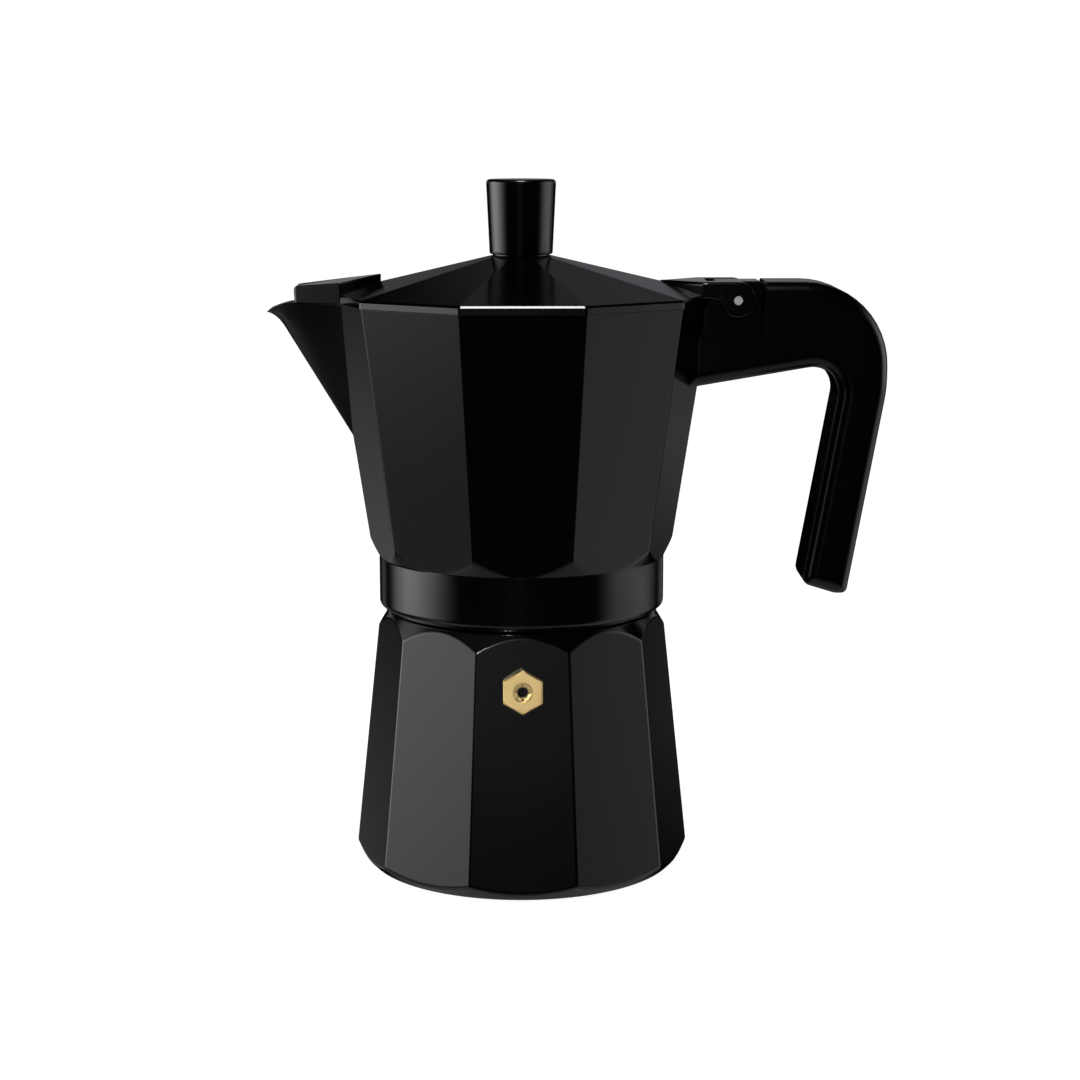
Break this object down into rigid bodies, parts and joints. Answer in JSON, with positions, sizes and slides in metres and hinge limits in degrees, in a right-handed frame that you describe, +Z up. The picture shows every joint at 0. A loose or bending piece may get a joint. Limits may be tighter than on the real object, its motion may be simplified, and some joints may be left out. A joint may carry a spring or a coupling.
{
  "type": "moka pot",
  "caption": "Ten-sided black stovetop moka pot with a beak spout, hinged lid, round knob, black handle and brass safety valve.",
  "frame": {"origin": "centre of the boiler's flat bottom, on the surface the pot stands on", "axes": "+Z up along the pot's axis, +X towards the hinge and the handle, -X towards the spout, -Y towards the side with the safety valve"},
  "size_m": [0.178, 0.105, 0.2],
  "materials": {
    "black_coat": "satin",
    "aluminium": "satin",
    "brass": "satin",
    "steel": "satin",
    "silicone": "matte",
    "black_plastic": "satin"
  },
  "bodies": {
    "base": {"boiler": "black_coat", "valve_body": "brass", "valve_ring": "brass"},
    "relief": {"valve_ball": "steel", "valve_spring": "steel"},
    "funnel": {"funnel_cup": "aluminium", "funnel_stem": "aluminium", "funnel_disc": "aluminium"},
    "seal": {"gasket": "silicone"},
    "filter": {"filter_plate": "aluminium"},
    "upper": {"collector": "black_coat", "spout": "black_coat", "coffee_column": "aluminium", "hinge_pin": "steel", "handle": "black_plastic", "handle_screw": "steel"},
    "cover": {"lid": "black_coat", "knob": "black_plastic", "knob_insert": "brass", "knob_washer": "steel", "knob_screw": "steel"}
  },
  "joints": [
    {"name": "valve_ball_slide", "type": "slide", "parent": "base", "child": "relief", "axis": [0, -0.995, 0.1002], "range_m": [0, 0.0008], "stiffness_N_per_m": 1500, "springref_m": -0.0005},
    {"name": "funnel_lift", "type": "slide", "parent": "base", "child": "funnel", "axis": [0, 0, 1], "range_m": [0, 0.075]},
    {"name": "lift_off", "type": "slide", "parent": "base", "child": "seal", "axis": [0, 0, 1], "range_m": [0, 0.15]},
    {"name": "thread_lift", "type": "slide", "parent": "seal", "child": "filter", "axis": [0, 0, 1], "range_m": [0, 0.0038]},
    {"name": "collector_turn", "type": "hinge", "parent": "filter", "child": "upper", "pos_m": [0, 0, 0.08], "axis": [0, 0, 1], "range_deg": [0, 450]},
    {"name": "lid_hinge", "type": "hinge", "parent": "upper", "child": "cover", "pos_m": [0.0615, 0, 0.166], "axis": [0, 1, 0], "range_deg": [0, 110]}
  ],
  "couplings": [
    {"joint": "thread_lift", "follows": "collector_turn", "m_per_rad": 0.00047746},
    {"joint": "funnel_lift", "follows": "lift_off", "ratio": 0.5}
  ]
}
